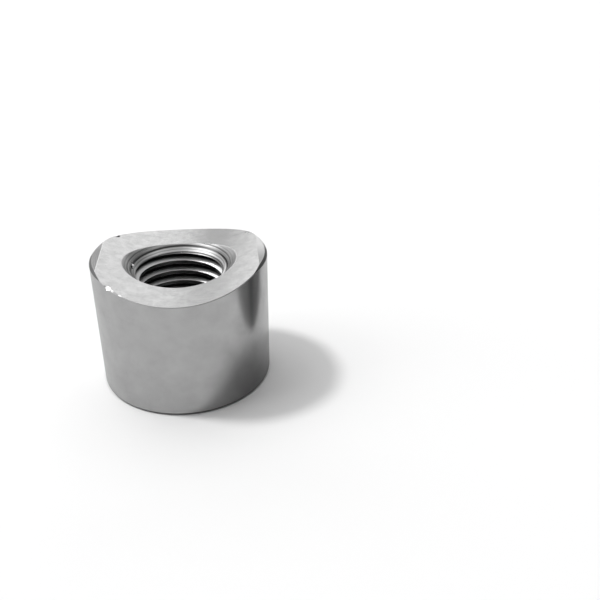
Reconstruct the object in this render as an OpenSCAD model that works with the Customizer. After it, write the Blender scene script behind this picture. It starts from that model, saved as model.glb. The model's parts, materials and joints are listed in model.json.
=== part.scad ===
// Weld bung: a threaded boss turned from round bar in one piece.
// The flat end takes the fitting that screws in. The other end is coped to the
// curve of a round tube, so that it seats on the tube and is welded round its
// rim. Two narrow crescents of the faced end are left beside the cope.
// Origin: centre of the flat end. +Z runs up the thread's axis to the coped
// end, and the tube runs along Y. Sizes are in millimetres.

/* [Body] */
// Outside diameter of the bar
body_d = 22; // [18:0.5:40]
// Length from the flat end to the crescents
body_l = 17; // [12:0.5:60]
// Edge break round the flat end and round the crescents
edge_break = 0.3; // [0.1:0.05:0.4]

/* [Cope] */
// Outside diameter of the tube that the bung is welded to
tube_d = 60; // [44:1:200]
// Width of each crescent at its widest
crescent_w = 1.2; // [0.6:0.1:2]

/* [Thread] */
// Major diameter of the thread
thread_d = 12; // [8:0.5:14]
// Pitch of the thread
thread_pitch = 1.5; // [1:0.25:1.75]

/* [Chamfers] */
// Full angle of the countersink in the coped end
sink_angle = 90; // [60:5:100]
// How far the countersink clears the thread at the cope's lowest line
sink_over = 0.25; // [0.05:0.05:0.8]
// Full angle of the lead-in chamfer in the flat end
lead_angle = 90; // [60:5:120]
// How far the lead-in chamfer clears the thread at the flat end
lead_over = 0.1; // [0.05:0.05:0.8]

/* [Hidden] */
$fn = 180;
// How far a cutting shape runs past the face that it cuts
past = 1;
body_r = body_d / 2;
tube_r = tube_d / 2;
thread_r = thread_d / 2;
// The hole is the tapping drill's size, where the thread's crests stand
bore_r = (thread_d - thread_pitch) / 2;
// Half the distance between the crescents' straight edges
cope_half = body_r - crescent_w;
// The cope's lowest line, straight above the origin
dip_z = body_l - tube_r + sqrt(tube_r * tube_r - cope_half * cope_half);
// Slope of each cone: how much its radius grows for each millimetre of depth
sink_slope = tan(sink_angle / 2);
lead_slope = tan(lead_angle / 2);
// Heights at which the two cones run out into the straight hole
sink_z = dip_z - (thread_r + sink_over - bore_r) / sink_slope;
lead_z = (thread_r + lead_over - bore_r) / lead_slope;

// The turned bar, with its edge broken at both ends
module turned_bar() {
    rotate_extrude()
        polygon([
            [0, 0],
            [body_r - edge_break, 0],
            [body_r, edge_break],
            [body_r, body_l - edge_break],
            [body_r - edge_break, body_l],
            [0, body_l]
        ]);
}

// The drilled hole with its lead-in chamfer below and its countersink above
module tapped_hole() {
    rotate_extrude()
        polygon([
            [0, -past],
            [bore_r + (lead_z + past) * lead_slope, -past],
            [bore_r, lead_z],
            [bore_r, sink_z],
            [bore_r + (body_l + past - sink_z) * sink_slope, body_l + past],
            [0, body_l + past]
        ]);
}

// The tube's own outline, cut out of the end that sits on it
module cope() {
    translate([0, 0, dip_z + tube_r])
        rotate([90, 0, 0])
            cylinder(r = tube_r, h = body_d + 2 * past, center = true);
}

module bung() {
    color("silver")
        difference() {
            turned_bar();
            tapped_hole();
            cope();
        }
}

bung();
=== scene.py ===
import json
import math

import bpy
from mathutils import Matrix, Vector


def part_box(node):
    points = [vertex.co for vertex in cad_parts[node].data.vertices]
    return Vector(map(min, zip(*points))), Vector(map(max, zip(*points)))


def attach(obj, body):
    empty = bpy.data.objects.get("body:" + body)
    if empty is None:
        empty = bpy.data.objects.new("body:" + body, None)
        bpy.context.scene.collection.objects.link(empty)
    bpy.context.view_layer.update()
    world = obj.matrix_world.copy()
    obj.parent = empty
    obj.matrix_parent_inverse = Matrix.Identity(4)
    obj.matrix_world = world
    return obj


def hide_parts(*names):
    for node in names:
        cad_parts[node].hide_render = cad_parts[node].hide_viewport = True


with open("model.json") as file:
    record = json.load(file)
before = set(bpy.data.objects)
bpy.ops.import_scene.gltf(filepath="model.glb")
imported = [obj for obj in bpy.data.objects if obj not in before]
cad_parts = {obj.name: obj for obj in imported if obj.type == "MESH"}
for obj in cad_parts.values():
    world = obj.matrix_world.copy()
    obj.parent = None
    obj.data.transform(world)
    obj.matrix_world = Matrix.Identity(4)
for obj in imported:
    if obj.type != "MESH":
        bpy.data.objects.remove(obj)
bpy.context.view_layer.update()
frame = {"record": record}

# Camera: a 44 mm lens close to the bung, looking down by 29 degrees and turned
# a little to the right of the tube's direction. It hangs 57 mm above the floor.
MM = 0.001
camera_place = Vector((6.05, -83.634, 56.686)) * MM
camera_down, camera_turn, camera_roll = 29.39, 6.27, 0.18

bpy.ops.object.camera_add()
camera = bpy.context.object
camera.name = "camera"
camera.data.sensor_width = 36
camera.data.lens = 43.77
camera.data.clip_start = 5 * MM
camera.data.clip_end = 10
camera.matrix_world = (
    Matrix.Translation(camera_place)
    @ Matrix.Rotation(math.radians(-camera_turn), 4, "Z")
    @ Matrix.Rotation(math.radians(90 - camera_down), 4, "X")
    @ Matrix.Rotation(math.radians(camera_roll), 4, "Z")
)
bpy.context.scene.camera = camera

# Blank: a slice of round steel bar. It is parted off and faced in the lathe, and
# a narrow bevel breaks the edge at both ends.
blank_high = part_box("bung")[1]
blank_r = blank_high.x
blank_l = blank_high.z
edge_break = 0.3 * MM
blank_sides = 360
same_height = 0.01 * MM

bar_grey = "#D2D2D2"
bar_stain = "#B2B2B2"


def linear(hex_colour):
    """An sRGB hex colour as the linear one that the shaders take."""
    parts = [int(hex_colour[i:i + 2], 16) / 255 for i in (1, 3, 5)]
    return [p / 12.92 if p <= 0.04045 else ((p + 0.055) / 1.055) ** 2.4 for p in parts] + [1]


def add_node(tree, kind, inputs=None, **settings):
    """Adds a node with its settings. An input is a value, or a socket to link."""
    node = tree.nodes.new(kind)
    for name, value in settings.items():
        setattr(node, name, value)
    for name, value in (inputs or {}).items():
        if isinstance(value, bpy.types.NodeSocket):
            tree.links.new(value, node.inputs[name])
        else:
            node.inputs[name].default_value = value
    return node


def new_material(name):
    """An empty material, with its node tree and its output."""
    material = bpy.data.materials.new(name)
    material.use_nodes = True
    material.node_tree.nodes.clear()
    return material, material.node_tree


def finish_metal(tree, colour, roughness, bump, grain=0.0):
    """Steel from its colour, roughness and bump sockets or values. A grain above 0
    stretches the highlight across the turned marks round the thread's axis."""
    metal = add_node(tree, "ShaderNodeBsdfPrincipled", {
        "Base Color": colour, "Metallic": 1.0, "Roughness": roughness,
        "Anisotropic": grain, "Normal": bump,
    })
    if grain:
        tangent = add_node(tree, "ShaderNodeTangent", direction_type="RADIAL", axis="Z")
        tree.links.new(tangent.outputs[0], metal.inputs["Tangent"])
    output = add_node(tree, "ShaderNodeOutputMaterial")
    tree.links.new(metal.outputs[0], output.inputs[0])


def only(piece):
    """Leaves just this piece selected and active."""
    bpy.ops.object.select_all(action="DESELECT")
    piece.select_set(True)
    bpy.context.view_layer.objects.active = piece


def select_edges(piece, wanted):
    """Selects the edges whose two ends pass the test, and opens edit mode."""
    only(piece)
    bpy.ops.object.mode_set(mode="EDIT")
    bpy.ops.mesh.select_mode(type="EDGE")
    bpy.ops.mesh.select_all(action="DESELECT")
    bpy.ops.object.mode_set(mode="OBJECT")
    for edge in piece.data.edges:
        edge.select = wanted(*(piece.data.vertices[i].co for i in edge.vertices))
    bpy.ops.object.mode_set(mode="EDIT")


# Bar stock, centreless ground: a satin skin that mirrors the floor softly, with
# faint marks along the bar and cloudy stains where hands and coolant have dried.
# The scale of each pattern is its number of cells in a millimetre.
bar_skin, tree = new_material("ground_bar_skin")
place = add_node(tree, "ShaderNodeTexCoord").outputs["Object"]
streak_place = add_node(tree, "ShaderNodeMapping", {
    "Vector": place, "Scale": Vector((1.4, 1.4, 0.06)) / MM,
})
streaks = add_node(tree, "ShaderNodeTexNoise", {
    "Vector": streak_place.outputs[0], "Scale": 1.0, "Detail": 3.0, "Roughness": 0.6,
})
clouds = add_node(tree, "ShaderNodeTexNoise", {
    "Vector": place, "Scale": 0.42 / MM, "Detail": 5.0, "Roughness": 0.6,
})
skin_colour = add_node(tree, "ShaderNodeMix", {
    "Factor": clouds.outputs[0], "A": linear(bar_grey), "B": linear(bar_stain),
}, data_type="RGBA")
skin_rough = add_node(tree, "ShaderNodeMapRange", {
    "Value": clouds.outputs[0], "From Min": 0.3, "From Max": 0.7, "To Min": 0.2, "To Max": 0.27,
})
skin_bump = add_node(tree, "ShaderNodeBump", {
    "Height": streaks.outputs[0], "Strength": 0.25, "Distance": 0.01 * MM,
})
finish_metal(
    tree, skin_colour.outputs["Result"], roughness=skin_rough.outputs[0], bump=skin_bump.outputs[0]
)

bpy.ops.object.select_all(action="DESELECT")
bpy.ops.mesh.primitive_cylinder_add(
    vertices=blank_sides, radius=blank_r, depth=blank_l, location=(0, 0, blank_l / 2)
)
bung = bpy.context.object
bung.name = "weld_bung"
bpy.ops.object.transform_apply(location=True)
bung.data.materials.append(bar_skin)
select_edges(bung, lambda a, b: abs(a.z - b.z) < same_height)
bpy.ops.mesh.bevel(offset=edge_break, segments=1)
bpy.ops.object.mode_set(mode="OBJECT")

# Faced ends: a facing cut leaves fine rings round the axis, on the flat end and on the crescents.
# Painted shade darkens the left crescent and the front of the right one. The real feed is finer, and
# this one is as coarse as shows.
faced_grey = "#CCCCCC"
faced_shade_grey = "#989898"
facing_feed = 0.26 * MM
# A wave texture turns through 20 radians in each unit of its scale
facing_scale = 2 * math.pi / (20 * facing_feed)
faced_shade_slope = 0.2
faced_shade_from, faced_shade_to = -0.5 * MM, 3.5 * MM

faced_end, tree = new_material("lathe_faced_steel")
place = add_node(tree, "ShaderNodeTexCoord").outputs["Object"]
across = add_node(tree, "ShaderNodeVectorMath", {
    0: place, 1: (faced_shade_slope, 1, 0),
}, operation="DOT_PRODUCT")
# Painted shade: darker towards the front and the left.
faced_shade = add_node(tree, "ShaderNodeMapRange", {
    "Value": across.outputs["Value"], "From Min": faced_shade_from, "From Max": faced_shade_to,
})
faced_colour = add_node(tree, "ShaderNodeMix", {
    "Factor": faced_shade.outputs[0], "A": linear(faced_shade_grey), "B": linear(faced_grey),
}, data_type="RGBA")
facing = add_node(tree, "ShaderNodeTexWave", {
    "Vector": place, "Scale": facing_scale, "Distortion": 0.6,
    "Detail": 2.0, "Detail Scale": 1.5,
}, wave_type="RINGS", rings_direction="Z")
facing_bump = add_node(tree, "ShaderNodeBump", {
    "Height": facing.outputs["Fac"], "Strength": 0.12, "Distance": 0.01 * MM,
})
finish_metal(
    tree, faced_colour.outputs["Result"], roughness=0.2, bump=facing_bump.outputs[0], grain=0.3
)
bung.data.materials.append(faced_end)

# Broken edges: a file run round both ends by hand leaves a narrow bevel, uneven and dull. Its colour is
# painted shade: dark at the front, where it shows as a dark line beside the right crescent, and fading
# to a pale painted reflection towards the back.
bevel_shade_grey, bevel_lit_grey = "#7C7C7C", "#F0F0F0"
bevel_shade_from, bevel_shade_to = 0.3 * MM, 2.5 * MM
slanted_above, level_above = 0.5, 0.9


def grain_bump(tree, place, per_mm, strength, depth, detail=2.0, rough=0.5):
    """The bump of a fine grain, from its cells in a millimetre and its depth. The
    real grain is finer, and this one is as coarse as shows."""
    noise = add_node(tree, "ShaderNodeTexNoise", {
        "Vector": place, "Scale": per_mm / MM, "Detail": detail, "Roughness": rough,
    })
    return add_node(tree, "ShaderNodeBump", {
        "Height": noise.outputs[0], "Strength": strength, "Distance": depth,
    }).outputs[0]


broken_edge, tree = new_material("filed_edge_steel_painted_shade")
place = add_node(tree, "ShaderNodeTexCoord").outputs["Object"]
file_bump = grain_bump(tree, place, per_mm=1.6, strength=1.0, depth=0.05 * MM, detail=3.0)
side = add_node(tree, "ShaderNodeSeparateXYZ", {0: place}).outputs["Y"]
# Painted shade at the front, and a pale painted reflection towards the back.
bevel_lit = add_node(tree, "ShaderNodeMapRange", {
    "Value": side, "From Min": bevel_shade_from, "From Max": bevel_shade_to,
})
broken_colour = add_node(tree, "ShaderNodeMix", {
    "Factor": bevel_lit.outputs[0], "A": linear(bevel_shade_grey), "B": linear(bevel_lit_grey),
}, data_type="RGBA")
broken_rough = add_node(tree, "ShaderNodeMapRange", {
    "Value": bevel_lit.outputs[0], "To Min": 0.4, "To Max": 0.14,
})
finish_metal(
    tree, broken_colour.outputs["Result"], roughness=broken_rough.outputs[0], bump=file_bump
)
bung.data.materials.append(broken_edge)
for face in bung.data.polygons:
    if abs(face.normal.z) > slanted_above:
        finish = faced_end if abs(face.normal.z) > level_above else broken_edge
        face.material_index = bung.data.materials.find(finish.name)

# Cope: the curve of the tube, milled across the end with a cutter of the tube's
# own size. It leaves two narrow crescents of the faced end at the sides.
mounts = {mount["name"]: mount for mount in frame["record"]["mounts"]}
tube_r = mounts["cope"]["dims"]["r_mm"] * MM
dip_z = mounts["cope"]["pos_m"][2]
cope_sides = 720
cope_light, cope_stain = "#CFCFCF", "#C0C0C0"


def cut(tool):
    """Cuts a tool's shape out of the bung. The cut faces keep the tool's finish."""
    only(bung)
    difference = bung.modifiers.new("cut", "BOOLEAN")
    difference.operation = "DIFFERENCE"
    difference.solver = "EXACT"
    difference.material_mode = "TRANSFER"
    difference.object = tool
    bpy.ops.object.modifier_apply(modifier=difference.name)
    bpy.data.objects.remove(tool)


# Milled steel: a soft grey with pale clouds, faint marks across the tube, and a few
# fine scratches that run slantwise. The marks are as coarse as shows.
milled_cope, tree = new_material("milled_cope_steel")
place = add_node(tree, "ShaderNodeTexCoord").outputs["Object"]
cope_clouds = add_node(tree, "ShaderNodeTexNoise", {
    "Vector": place, "Scale": 0.9 / MM, "Detail": 5.0, "Roughness": 0.65,
})
cope_marks_place = add_node(tree, "ShaderNodeMapping", {
    "Vector": place, "Scale": Vector((0.35, 2.6, 0.35)) / MM,
})
cope_marks = add_node(tree, "ShaderNodeTexNoise", {
    "Vector": cope_marks_place.outputs[0], "Scale": 1.0, "Detail": 4.0, "Roughness": 0.65,
})
cope_bump = add_node(tree, "ShaderNodeBump", {
    "Height": cope_marks.outputs[0], "Strength": 0.5, "Distance": 0.012 * MM,
})
scratch_place = add_node(tree, "ShaderNodeMapping", {
    "Vector": place, "Rotation": (0, 0, math.radians(-32)),
    "Scale": Vector((0.28, 6, 0.28)) / MM,
})
scratches = add_node(tree, "ShaderNodeTexNoise", {"Vector": scratch_place.outputs[0], "Scale": 1.0})
scratch_depth = add_node(tree, "ShaderNodeMapRange", {
    "Value": scratches.outputs[0], "From Min": 0.66, "From Max": 0.8,
})
scratch_bump = add_node(tree, "ShaderNodeBump", {
    "Height": scratch_depth.outputs[0], "Normal": cope_bump.outputs[0],
    "Strength": 0.7, "Distance": -0.012 * MM,
})
cope_patch = add_node(tree, "ShaderNodeMapRange", {
    "Value": cope_clouds.outputs[0], "From Min": 0.35, "From Max": 0.65,
})
cope_colour = add_node(tree, "ShaderNodeMix", {
    "Factor": cope_patch.outputs[0], "A": linear(cope_light), "B": linear(cope_stain),
}, data_type="RGBA")
cope_rough = add_node(tree, "ShaderNodeMapRange", {
    "Value": cope_clouds.outputs[0], "From Min": 0.3, "From Max": 0.7, "To Min": 0.2, "To Max": 0.26,
})
finish_metal(
    tree, cope_colour.outputs["Result"], roughness=cope_rough.outputs[0], bump=scratch_bump.outputs[0]
)

bpy.ops.object.select_all(action="DESELECT")
bpy.ops.mesh.primitive_cylinder_add(
    vertices=cope_sides, radius=tube_r, depth=3 * blank_r, location=(0, 0, dip_z + tube_r),
    rotation=(math.pi / 2, 0, 0),
)
cope_cutter = bpy.context.object
cope_cutter.data.materials.append(milled_cope)
cut(cope_cutter)

# Drilled hole: right through at the tapping size, with a small lead-in chamfer at the flat end. Its wall
# is painted dark grey as shade deep in the hole, and still shines.
thread_r = 6.0 * MM
pitch = 1.5 * MM
drill_r = mounts["thread"]["dims"]["r_mm"] * MM
drill_l = mounts["thread"]["dims"]["length_mm"] * MM
lead_over = 0.1 * MM
drill_low = thread_r + lead_over - drill_r
drill_high = drill_low + drill_l
past = 3 * MM
turn_steps = 360
drill_shade_grey = "#646464"

drilled, tree = new_material("drilled_steel_painted_shade")
place = add_node(tree, "ShaderNodeTexCoord").outputs["Object"]
drill_bump = grain_bump(tree, place, per_mm=3, strength=0.3, depth=0.01 * MM)
finish_metal(tree, linear(drill_shade_grey), roughness=0.3, bump=drill_bump)


def revolve(name, profile, material):
    """A closed solid turned from a profile of (radius, height) points."""
    bpy.ops.object.select_all(action="DESELECT")
    mesh = bpy.data.meshes.new(name)
    mesh.from_pydata(
        [(r, 0, z) for r, z in profile], [(i, i + 1) for i in range(len(profile) - 1)], []
    )
    solid = bpy.data.objects.new(name, mesh)
    bpy.context.collection.objects.link(solid)
    only(solid)
    bpy.ops.object.mode_set(mode="EDIT")
    bpy.ops.mesh.select_all(action="SELECT")
    bpy.ops.mesh.spin(steps=turn_steps, angle=2 * math.pi, center=(0, 0, 0), axis=(0, 0, 1))
    bpy.ops.mesh.select_all(action="SELECT")
    bpy.ops.mesh.remove_doubles(threshold=0.001 * MM)
    bpy.ops.mesh.normals_make_consistent(inside=False)
    bpy.ops.object.mode_set(mode="OBJECT")
    solid.data.materials.append(material)
    return solid


cut(revolve("drill", [
    (0, -past), (drill_r + drill_low + past, -past), (drill_r, drill_low),
    (drill_r, blank_l + past), (0, blank_l + past),
], drilled))

# Countersink: a 90 degree cone from the coped end, cut in two passes. The second went deeper, a little
# off centre, and chattered. Its colour holds painted shade and light: the chatter and the dark rings are
# painted shade and one pale ring a painted highlight, for the steps of the turned rings, and painted
# shade darkens the right side. Real rings are finer than these.
sink_steps = [(6.4 * MM, 0.05 * MM)]
first_r = 6.12 * MM
second_r, second_deep, second_off = 6.02 * MM, 0.09 * MM, -0.08 * MM
ring_off = -0.12 * MM
second_steps = [(5.45 * MM, 0.06 * MM)]
painted_rings = [
    (5.44 * MM, 0.1 * MM, 0.35), (5.63 * MM, 0.1 * MM, 1.25), (6.08 * MM, 0.15 * MM, 0.42),
    (6.42 * MM, 0.1 * MM, 0.4), (6.7 * MM, 0.07 * MM, 0.75),
]
chatter_period, chatter_peak, chatter_end = 0.25 * MM, 5.63 * MM, 6.3 * MM
chatter_dark, chatter_light = 0.55, 0.95
ring_wander = 0.05 * MM
smooth_level = 0.85
shaded_side_from, shaded_side_to, shaded_side_level = 1.5 * MM, 5 * MM, 0.72
foot_inside = 1 * MM
sink_grey = "#D0D0D0"
sink_shade_grey = "#101010"

countersunk, tree = new_material("countersunk_steel")
place = add_node(tree, "ShaderNodeTexCoord").outputs["Object"]
sink_bump = grain_bump(tree, place, per_mm=2.2, strength=0.4, depth=0.02 * MM)
wander = add_node(tree, "ShaderNodeMapRange", {
    "Value": add_node(tree, "ShaderNodeTexNoise", {"Vector": place, "Scale": 0.5 / MM}).outputs[0],
    "To Min": -ring_wander, "To Max": ring_wander,
})
across = add_node(tree, "ShaderNodeVectorMath", {0: place, 1: (1, 1, 0)}, operation="MULTIPLY")
from_axis = add_node(tree, "ShaderNodeVectorMath", {
    0: across.outputs[0], 1: (ring_off, 0, 0),
}, operation="DISTANCE")
ring_place = add_node(tree, "ShaderNodeMath", {0: from_axis.outputs["Value"], 1: wander.outputs[0]})
from_peak = add_node(tree, "ShaderNodeMath", {
    0: ring_place.outputs[0], 1: chatter_peak,
}, operation="SUBTRACT")
chatter_turn = add_node(tree, "ShaderNodeMath", {
    0: from_peak.outputs[0], 1: 2 * math.pi / chatter_period,
}, operation="MULTIPLY")
chatter = add_node(tree, "ShaderNodeMath", {0: chatter_turn.outputs[0]}, operation="COSINE")
sink_lit = add_node(tree, "ShaderNodeMapRange", {
    "Value": chatter.outputs[0], "From Min": -1.0, "From Max": 1.0,
    "To Min": chatter_dark, "To Max": chatter_light,
})
smooth_part = add_node(tree, "ShaderNodeMath", {
    0: ring_place.outputs[0], 1: chatter_end,
}, operation="GREATER_THAN")
smooth_part = add_node(tree, "ShaderNodeMath", {
    0: smooth_part.outputs[0], 1: smooth_level,
}, operation="MULTIPLY")
sink_lit = add_node(tree, "ShaderNodeMath", {
    0: sink_lit.outputs[0], 1: smooth_part.outputs[0],
}, operation="MAXIMUM")
# Painted shade in the dark rings, and a painted highlight in the pale one.
for ring_r, ring_w, ring_level in painted_rings:
    away = add_node(tree, "ShaderNodeMath", {0: ring_place.outputs[0], 1: ring_r}, operation="SUBTRACT")
    away = add_node(tree, "ShaderNodeMath", {0: away.outputs[0]}, operation="ABSOLUTE")
    ring = add_node(tree, "ShaderNodeMapRange", {
        "Value": away.outputs[0], "From Min": ring_w / 3, "From Max": ring_w, "To Min": ring_level,
    })
    sink_lit = add_node(tree, "ShaderNodeMath", {
        0: sink_lit.outputs[0], 1: ring.outputs[0],
    }, operation="MULTIPLY")
# Painted shade on the right side.
side = add_node(tree, "ShaderNodeSeparateXYZ", {0: place}).outputs["X"]
shaded_side = add_node(tree, "ShaderNodeMapRange", {
    "Value": side, "From Min": shaded_side_from, "From Max": shaded_side_to, "To Min": 1.0, "To Max": shaded_side_level,
})
sink_lit = add_node(tree, "ShaderNodeMath", {
    0: sink_lit.outputs[0], 1: shaded_side.outputs[0],
}, operation="MULTIPLY")
sink_colour = add_node(tree, "ShaderNodeMix", {
    "Factor": sink_lit.outputs[0], "A": linear(sink_shade_grey), "B": linear(sink_grey),
}, data_type="RGBA")
finish_metal(tree, sink_colour.outputs["Result"], roughness=0.4, bump=sink_bump)


def stepped_cone(foot_r, foot_z, high_r, steps):
    """Points up a 45 degree cone, with a ledge and a wall at each (radius, size)."""
    points = [(foot_r, foot_z)]
    for r, size in sorted(steps):
        z = foot_z + r - foot_r
        half = size / 2
        points += [(r - half, z - half), (r + half, z - half), (r + half, z + half)]
    return points + [(high_r, foot_z + high_r - foot_r)]


inner_r = drill_r - foot_inside
sink_high = blank_l + past
second_low = drill_high - foot_inside - second_deep
sink_profile = [(0, second_low)] + stepped_cone(inner_r, second_low, second_r, second_steps)
sink_profile += stepped_cone(
    first_r, drill_high + first_r - drill_r, drill_r + sink_high - drill_high, sink_steps
) + [(0, sink_high)]
sink = revolve("countersink", sink_profile, countersunk)
for vertex in sink.data.vertices:
    if math.hypot(vertex.co.x, vertex.co.y) < (second_r + first_r) / 2:
        vertex.co.x += second_off
cut(sink)

# Thread: M12 x 1.5, right-hand, cut with a tap right through. The tap leaves the flanks pale and
# slightly torn, and painted shade darkens them towards the roots, deep in the grooves. What is left of
# the drilled wall makes the crests.
thread_grey = "#DCDCDC"
root_shade_grey = "#303030"
root_shade_from, root_shade_to = thread_r - 0.42 * MM, thread_r - 0.12 * MM
thread_turns, turns_below = 15, 11
thread_steps = 180
groove_at_back = 13.88 * MM
flank = math.tan(math.radians(30))
tap_clear = 0.03 * MM

tapped, tree = new_material("tapped_steel")
place = add_node(tree, "ShaderNodeTexCoord").outputs["Object"]
torn_bump = grain_bump(
    tree, place, per_mm=2.6, strength=0.2, depth=0.01 * MM, detail=3.0, rough=0.6
)
across = add_node(tree, "ShaderNodeVectorMath", {0: place, 1: (1, 1, 0)}, operation="MULTIPLY")
from_axis = add_node(tree, "ShaderNodeVectorMath", {0: across.outputs[0]}, operation="LENGTH")
# Painted shade, darker towards the roots.
root_shade = add_node(tree, "ShaderNodeMapRange", {
    "Value": from_axis.outputs["Value"], "From Min": root_shade_from, "From Max": root_shade_to,
})
thread_colour = add_node(tree, "ShaderNodeMix", {
    "Factor": root_shade.outputs[0], "A": linear(thread_grey), "B": linear(root_shade_grey),
}, data_type="RGBA")
finish_metal(tree, thread_colour.outputs["Result"], roughness=0.56, bump=torn_bump)


def groove_half(r):
    """Half the width of the thread's groove at a radius, for a 60 degree form."""
    return pitch / 16 + (thread_r - r) * flank


tap_start = groove_at_back - pitch / 4 - turns_below * pitch
tap_inner = drill_r - tap_clear
tap_side = [(r, groove_half(r)) for r in (thread_r, tap_inner)]
tap_profile = [(r, -half) for r, half in reversed(tap_side)] + tap_side
tap_ring = [(i, (i + 1) % len(tap_profile)) for i in range(len(tap_profile))]
bpy.ops.object.select_all(action="DESELECT")
tap_mesh = bpy.data.meshes.new("tap")
tap_mesh.from_pydata([(r, 0, tap_start + z) for r, z in tap_profile], tap_ring, [])
tap = bpy.data.objects.new("tap", tap_mesh)
bpy.context.collection.objects.link(tap)
only(tap)
helix = tap.modifiers.new("helix", "SCREW")
helix.axis = "Z"
helix.steps = helix.render_steps = thread_steps
helix.iterations = thread_turns
helix.screw_offset = pitch
bpy.ops.object.modifier_apply(modifier=helix.name)
bpy.ops.object.mode_set(mode="EDIT")
bpy.ops.mesh.select_all(action="SELECT")
bpy.ops.mesh.fill_holes(sides=len(tap_profile))
bpy.ops.mesh.select_all(action="SELECT")
bpy.ops.mesh.normals_make_consistent(inside=False)
bpy.ops.object.mode_set(mode="OBJECT")
tap.data.materials.append(tapped)
cut(tap)

# Rims: the cope's rims are rubbed round with a coarse stone, which leaves them
# soft and dull. The outer rim is rubbed most, and the hole's mouth hardly at all.
rim_round = 0.12 * MM
mouth_rub = 0.04 * MM
rubbed_grey = "#C0C0C0"

rubbed, tree = new_material("stoned_edge_steel")
place = add_node(tree, "ShaderNodeTexCoord").outputs["Object"]
rub_bump = grain_bump(tree, place, per_mm=3, strength=0.2, depth=0.01 * MM)
finish_metal(tree, linear(rubbed_grey), roughness=0.75, bump=rub_bump)


def cope_z(x):
    """Height of the cope above the flat end, at a distance from the tube's middle."""
    return dip_z + tube_r - math.sqrt(tube_r ** 2 - x ** 2)


def rub_edge(profile, rim_radius):
    """Rubs a rim of the cope. The stone is a turned ring with this profile, in
    metres from the rim, and the ring is then laid along the rim."""
    ring = revolve("stone", [(blank_r + r, z) for r, z in profile + profile[:1]], rubbed)
    half_step = math.pi / turn_steps
    for vertex in ring.data.vertices:
        angle = math.atan2(vertex.co.y, vertex.co.x) + half_step
        r = rim_radius(angle) + math.hypot(vertex.co.x, vertex.co.y) - blank_r
        x, y = r * math.cos(angle), r * math.sin(angle)
        vertex.co = (x, y, cope_z(rim_radius(angle) * math.cos(angle)) + vertex.co.z)
    cut(ring)


def mouth_radius(angle):
    """Where the countersink meets the cope, at an angle round the thread's axis."""
    r = thread_r
    for _ in range(12):
        r = drill_r + cope_z(r * math.cos(angle)) - drill_high
    return r


facets = 4
facet_turn = math.pi / 2 / facets
outer_profile = [
    ((math.cos(facet_turn * k) - 1) * rim_round, (math.sin(facet_turn * k) - 1) * rim_round)
    for k in range(facets + 1)
]
tail = 0.4 * rim_round
lean = tail * math.tan(facet_turn / 2)
outer_profile[0] = (lean, -rim_round - tail)
outer_profile[-1] = (-rim_round - tail, lean)
outer_profile += [(-rim_round - tail, rim_round), (rim_round, rim_round), (rim_round, -rim_round - tail)]
rub_edge(outer_profile, lambda angle: blank_r)

mouth_side = mouth_rub * math.sqrt(0.5)
mouth_lean = 0.4 * tail
mouth_profile = [
    (-mouth_side - tail, -mouth_side - mouth_lean), (mouth_rub + tail, mouth_lean),
    (mouth_rub + tail, rim_round), (-mouth_side - tail, rim_round),
]
rub_edge(mouth_profile, mouth_radius)

# Knock: one dent across the outer rim at the front left, and beside it a stroke
# of the file that took the burr down and left patches. Both face the key light,
# so the dent is the brightest spot of all.
file_turn, file_tilt = math.radians(-118), math.radians(31)
file_deep, filed_at, file_size = 0.08 * MM, math.radians(-127), 4 * MM
dent_r, dent_deep, dent_inside = 1.5 * MM, 0.14 * MM, 0.12 * MM
dented_at = math.radians(-136.5)
bright_grey, dull_grey = "#DCDCDC", "#949494"


def cope_place(angle, off_rim=0):
    """A place on the cope, at an angle round the thread's axis and off its rim."""
    x, y = (blank_r - off_rim) * math.cos(angle), (blank_r - off_rim) * math.sin(angle)
    return Vector((x, y, cope_z(x)))


bright_metal, tree = new_material("knocked_bright_steel")
place = add_node(tree, "ShaderNodeTexCoord").outputs["Object"]
knock_bump = grain_bump(tree, place, per_mm=3, strength=0.2, depth=0.01 * MM)
finish_metal(tree, linear(bright_grey), roughness=0.25, bump=knock_bump)

patchy_metal, tree = new_material("patchy_filed_steel")
place = add_node(tree, "ShaderNodeTexCoord").outputs["Object"]
patches = add_node(tree, "ShaderNodeTexNoise", {"Vector": place, "Scale": 1.5 / MM})
patch = add_node(tree, "ShaderNodeMapRange", {
    "Value": patches.outputs[0], "From Min": 0.45, "From Max": 0.6,
})
patch_colour = add_node(tree, "ShaderNodeMix", {
    "Factor": patch.outputs[0], "A": linear(dull_grey), "B": linear(bright_grey),
}, data_type="RGBA")
patch_bump = add_node(tree, "ShaderNodeBump", {
    "Height": patches.outputs[0], "Strength": 0.5, "Distance": 0.05 * MM,
})
finish_metal(tree, patch_colour.outputs["Result"], roughness=0.66, bump=patch_bump.outputs[0])

file_normal = Matrix.Rotation(file_turn, 3, "Z") @ Vector(
    (math.sin(file_tilt), 0, math.cos(file_tilt))
)
bpy.ops.object.select_all(action="DESELECT")
bpy.ops.mesh.primitive_cube_add(
    size=file_size, location=cope_place(filed_at) + file_normal * (file_size / 2 - file_deep),
    rotation=file_normal.to_track_quat("Z", "Y").to_euler(),
)
file_stroke = bpy.context.object
file_stroke.data.materials.append(patchy_metal)
cut(file_stroke)

along_rim = Vector((-math.sin(dented_at), math.cos(dented_at), 0))
down_dent = file_normal.cross(along_rim).normalized()
bpy.ops.object.select_all(action="DESELECT")
bpy.ops.mesh.primitive_cylinder_add(
    vertices=96, radius=dent_r, depth=file_size,
    location=cope_place(dented_at, dent_inside) + file_normal * (dent_r - dent_deep),
    rotation=down_dent.to_track_quat("Z", "Y").to_euler(),
)
dent = bpy.context.object
dent.data.materials.append(bright_metal)
cut(dent)

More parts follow.
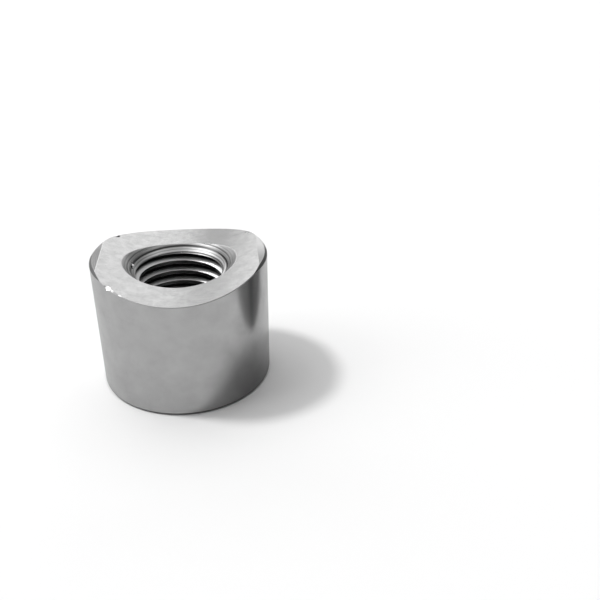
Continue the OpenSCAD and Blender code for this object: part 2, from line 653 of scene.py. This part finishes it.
# Chord: the straight edge between the cope and the left crescent is rubbed to a
# narrow bright facet, which shows as a thin line.
chord_x = -math.sqrt(tube_r ** 2 - (dip_z + tube_r - blank_l) ** 2)
chord_tilt = math.radians(8)
chord_deep = 0.01 * MM
chord_normal = Vector((math.sin(chord_tilt), 0, math.cos(chord_tilt)))
chord_stone = Vector((0.5, 12, 1)) * MM
bpy.ops.object.select_all(action="DESELECT")
bpy.ops.mesh.primitive_cube_add(
    size=1, scale=chord_stone, rotation=(0, chord_tilt, 0),
    location=Vector((chord_x, 0, blank_l)) + chord_normal * (chord_stone.z / 2 - chord_deep),
)
chord_rub = bpy.context.object
chord_rub.data.materials.append(bright_metal)
cut(chord_rub)

# Nicks: a chip in the countersink, burrs along its mouth, and marks on the outer rim. Bright ones are
# bare metal, and dark ones are painted near black as shade. A row is an angle in degrees, then a radius,
# a size and how far its middle is off the steel, in mm.
bright_nicks = [
    (170, 6.05, 0.3, 0.1), (64, 6.4, 0.1, 0), (61, 6.42, 0.1, 0), (53, 6.5, 0.13, 0),
    (48, 6.56, 0.11, 0), (20.6, 6.98, 0.12, 0), (91, 5.4, 0.11, 0.02),
    (35.4, 10.6, 0.24, 0.05), (32.6, 10.6, 0.2, 0.04),
]
dark_nicks = [(177, 6.0, 0.26, 0.04), (140, 10.75, 0.9, 0.82), (-157, 10.95, 0.5, 0.42)]
nick_shade_grey = "#282828"

shaded_nick, tree = new_material("nick_painted_shade")
place = add_node(tree, "ShaderNodeTexCoord").outputs["Object"]
dirt_bump = grain_bump(tree, place, per_mm=3, strength=0.3, depth=0.01 * MM)
finish_metal(tree, linear(nick_shade_grey), roughness=0.5, bump=dirt_bump)

for nicks, finish in ((bright_nicks, bright_metal), (dark_nicks, shaded_nick)):
    points = []
    for turn, radius, size, clear in nicks:
        x = radius * math.cos(math.radians(turn)) * MM
        y = radius * math.sin(math.radians(turn)) * MM
        z = min(cope_z(x), drill_high + radius * MM - drill_r) + clear * MM
        bpy.ops.object.select_all(action="DESELECT")
        bpy.ops.mesh.primitive_ico_sphere_add(subdivisions=3, radius=size * MM, location=(x, y, z))
        points.append(bpy.context.object)
    for point in points:
        point.select_set(True)
    bpy.ops.object.join()
    punch = bpy.context.object
    punch.data.materials.append(finish)
    cut(punch)

# The finished bung: every edge between two cuts stays crisp, as do the ledges in
# the countersink, and the rest is smooth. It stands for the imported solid.
smooth_below = math.radians(25)
ledge_above = math.radians(3)

only(bung)
bpy.ops.object.shade_smooth_by_angle(angle=smooth_below)
sink_slot = bung.data.materials.find(countersunk.name)
beside = {}
for face in bung.data.polygons:
    for key in face.edge_keys:
        beside.setdefault(key, []).append(face)
for edge in bung.data.edges:
    one, other = beside[edge.key]
    ledge = one.material_index == sink_slot and one.normal.angle(other.normal, 0) > ledge_above
    if ledge or one.material_index != other.material_index:
        edge.use_edge_sharp = True
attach(bung, "root")
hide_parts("bung")

# Floor: a sheet of white paper. The steel mirrors it darker than it looks, so it has one grey for the
# mirror images and a paler one for the camera. The mirrored grey holds a painted shade, darkest at the
# bung's front right.
paper_true = "#C3C3C3"
paper_seen = "#E8E8E8"
paper_size = 3.0
shade_grey = "#8E8E8E"
shade_place = Vector((12, -8, 0)) * MM
shade_from, shade_to = 3 * MM, 11 * MM

paper, tree = new_material("white_paper")
camera_ray = add_node(tree, "ShaderNodeLightPath").outputs["Is Camera Ray"]
place = add_node(tree, "ShaderNodeTexCoord").outputs["Object"]
from_shade = add_node(tree, "ShaderNodeVectorMath", {0: place, 1: shade_place}, operation="DISTANCE")
lit = add_node(tree, "ShaderNodeMapRange", {
    "Value": from_shade.outputs["Value"], "From Min": shade_from, "From Max": shade_to,
})
mirrored = add_node(tree, "ShaderNodeMix", {
    "Factor": lit.outputs[0], "A": linear(shade_grey), "B": linear(paper_true),
}, data_type="RGBA")
paper_colour = add_node(tree, "ShaderNodeMix", {
    "Factor": camera_ray, "A": mirrored.outputs["Result"], "B": linear(paper_seen),
}, data_type="RGBA")
diffuse = add_node(tree, "ShaderNodeBsdfDiffuse", {"Color": paper_colour.outputs["Result"]})
add_node(tree, "ShaderNodeOutputMaterial", {0: diffuse.outputs[0]})

bpy.ops.object.select_all(action="DESELECT")
bpy.ops.mesh.primitive_plane_add(size=paper_size)
floor = bpy.context.object
floor.name = "paper_floor"
floor.data.materials.append(paper)

# Flag: a grey roll with a dark band, laid beside the bung out of the camera's
# sight. It only shows as the dark streak that it leaves in the side of the bar.
flag_r = 11 * MM
flag_near = Vector((24.9, -7.2, 11)) * MM
flag_far = Vector((37.4, 4.3, 11)) * MM
flag_grey, slot_grey = "#929292", "#4C4C4C"
slot_at, slot_half, slot_soft = 4.8 * MM, 1.0 * MM, 0.8 * MM

roll_cloth, tree = new_material("grey_cloth")
place = add_node(tree, "ShaderNodeTexCoord").outputs["Object"]
side = add_node(tree, "ShaderNodeSeparateXYZ", {0: place}).outputs["X"]
from_slot = add_node(tree, "ShaderNodeMath", {0: side, 1: slot_at}, operation="SUBTRACT")
from_slot = add_node(tree, "ShaderNodeMath", {0: from_slot.outputs[0]}, operation="ABSOLUTE")
slot = add_node(tree, "ShaderNodeMapRange", {
    "Value": from_slot.outputs[0], "From Min": slot_half, "From Max": slot_half + slot_soft,
})
cloth_colour = add_node(tree, "ShaderNodeMix", {
    "Factor": slot.outputs[0], "A": linear(slot_grey), "B": linear(flag_grey),
}, data_type="RGBA")
cloth = add_node(tree, "ShaderNodeBsdfDiffuse", {"Color": cloth_colour.outputs["Result"]})
add_node(tree, "ShaderNodeOutputMaterial", {0: cloth.outputs[0]})

flag_axis = flag_far - flag_near
bpy.ops.object.select_all(action="DESELECT")
bpy.ops.mesh.primitive_cylinder_add(
    vertices=64, radius=flag_r, depth=flag_axis.length, location=(flag_near + flag_far) / 2,
    rotation=flag_axis.to_track_quat("Z", "Y").to_euler(),
)
flag = bpy.context.object
flag.name = "grey_roll"
flag.data.materials.append(roll_cloth)
flag.visible_camera = False
flag.visible_shadow = False
flag.visible_diffuse = False

# Light: a small sharp key high on the left and a little behind, inside a broad
# soft one, a window on the left, and a pale ceiling. Two pale boards stand behind,
# with two dim strips in the gap between them, and the cope mirrors them.
key_from = Vector((-9.6, 2.5, 17))
key_angle = 8.0
key_power = 1.5
quarter = math.pi / 2
room_level = 0.18
# Each panel is a name, a place, a turn, a width, a height and a level
panels = [
    ("board_left", (-0.655, 0.8, 0.53), (-quarter, 0, 0), 0.99, 0.72, 1.12),
    ("board_dim", (-0.12, 0.8, 0.53), (-quarter, 0, 0), 0.08, 0.72, 0.3),
    ("board_join", (-0.12, 0.79, 0.66), (-quarter, 0, 0), 0.08, 0.44, 0.4),
    ("board_right", (0.24, 0.8, 0.43), (-quarter, 0, 0), 0.64, 0.52, 1.02),
    ("window", (-1.6, -0.1, 0.95), (0, -quarter, 0), 1.9, 1.2, 1.4),
    ("ceiling", (0.2, 0.47, 1.6), (0, 0, 0), 2.2, 1.86, 1.32),
    ("soft_key", (-0.65, 0.1, 1.0), (0, math.radians(-33), math.radians(-9)), 0.75, 0.8, 1.2),
]

bpy.ops.object.light_add(type="SUN")
key = bpy.context.object
key.name = "key_light"
key.data.angle = math.radians(key_angle)
key.data.energy = key_power
key.rotation_euler = key_from.to_track_quat("Z", "Y").to_euler()

for name, middle, turned, width, height, level in panels:
    bpy.ops.object.light_add(type="AREA", location=middle, rotation=turned)
    panel = bpy.context.object
    panel.name = name
    panel.data.shape = "RECTANGLE"
    panel.data.size = width
    panel.data.size_y = height
    panel.data.energy = level * math.pi * width * height
    panel.visible_camera = False

room = bpy.data.worlds.new("studio")
bpy.context.scene.world = room
room.use_nodes = True
tree = room.node_tree
tree.nodes.clear()
room_seen = add_node(tree, "ShaderNodeMix", {
    "Factor": add_node(tree, "ShaderNodeLightPath").outputs["Is Camera Ray"],
    "A": room_level, "B": 1.0,
})
room_light = add_node(tree, "ShaderNodeBackground", {"Strength": room_seen.outputs[0]})
add_node(tree, "ShaderNodeOutputWorld", {0: room_light.outputs[0]})

bpy.context.scene.view_settings.view_transform = "Standard"
